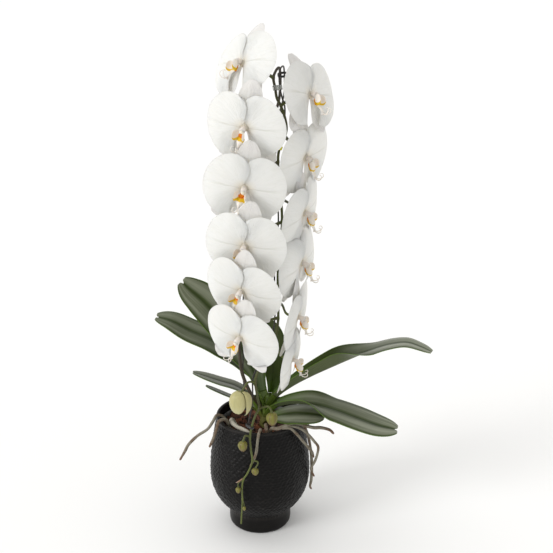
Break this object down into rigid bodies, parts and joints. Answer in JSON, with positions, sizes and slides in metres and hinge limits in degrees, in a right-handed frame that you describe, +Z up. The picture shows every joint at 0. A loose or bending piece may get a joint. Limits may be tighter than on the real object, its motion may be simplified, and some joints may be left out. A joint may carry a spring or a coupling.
{
  "type": "potted orchid",
  "caption": "White moth orchid trained as a cascade: a wired flower spike arches over and hangs in front of a dark footed pot, above strap leaves, bark and air roots",
  "frame": {"origin": "centre of the flat base of the pot", "axes": "+Z up along the pot's axis, -Y towards the front that the blooms hang over, +X to the right as seen from the front"},
  "size_m": [0.4202, 0.2515, 0.77],
  "materials": {
    "pot": "semi-matte glaze with small hammered dimples on the body",
    "nursery": "grey translucent plastic",
    "bark": "rough red-brown bark chips",
    "crown": "green leaf sheaths, smooth",
    "leaf": "dark green and waxy above, grey-green sheen, bright green margins",
    "spike": "olive-green stem, satin",
    "wire": "thin dark coated wire",
    "root": "grey to tan air root, matte",
    "petal": "soft white petal with fine veins",
    "lip": "yellow lip with an orange-red throat",
    "bud": "yellow-green bud, satin",
    "clip_dark": "dark plastic",
    "clip_clear": "clear plastic",
    "clip_yellow": "yellow plastic",
    "bract": "dry papery bract"
  },
  "bodies": {
    "root": {"pot": "pot", "nursery_pot": "nursery", "bark_bed": "bark", "crown": "crown", "leaf_a": "leaf", "leaf_b": "leaf", "leaf_c": "leaf", "leaf_d": "leaf", "leaf_e": "leaf", "leaf_f": "leaf", "leaf_g": "leaf", "leaf_h": "leaf", "root_left_long": "root", "root_left_short": "root", "root_across": "root", "root_front": "root", "root_inner": "root", "roots_right": "root", "root_thin_brown": "root", "root_thin_dark": "root", "flower_spike": "spike", "support_wire": "wire", "clip_top": "clip_dark", "clip_ring": "clip_clear", "clip_band": "clip_yellow", "clip_low": "clip_dark", "dry_bract": "bract", "pale_bract": "bract", "bloom_l1": "petal", "lip_l1": "lip", "bloom_l2": "petal", "lip_l2": "lip", "bloom_l3": "petal", "lip_l3": "lip", "bloom_l4": "petal", "lip_l4": "lip", "bloom_l5": "petal", "lip_l5": "lip", "bloom_l6": "petal", "lip_l6": "lip", "bloom_r1": "petal", "lip_r1": "lip", "bloom_r2": "petal", "lip_r2": "lip", "bloom_r3": "petal", "lip_r3": "lip", "bloom_r4": "petal", "lip_r4": "lip", "bloom_r5": "petal", "lip_r5": "lip", "bloom_r6": "petal", "lip_r6": "lip", "bud_1": "bud", "bud_2": "bud", "bud_3": "bud", "bud_4": "bud", "bud_5": "bud", "bud_6": "bud"}
  },
  "joints": []
}
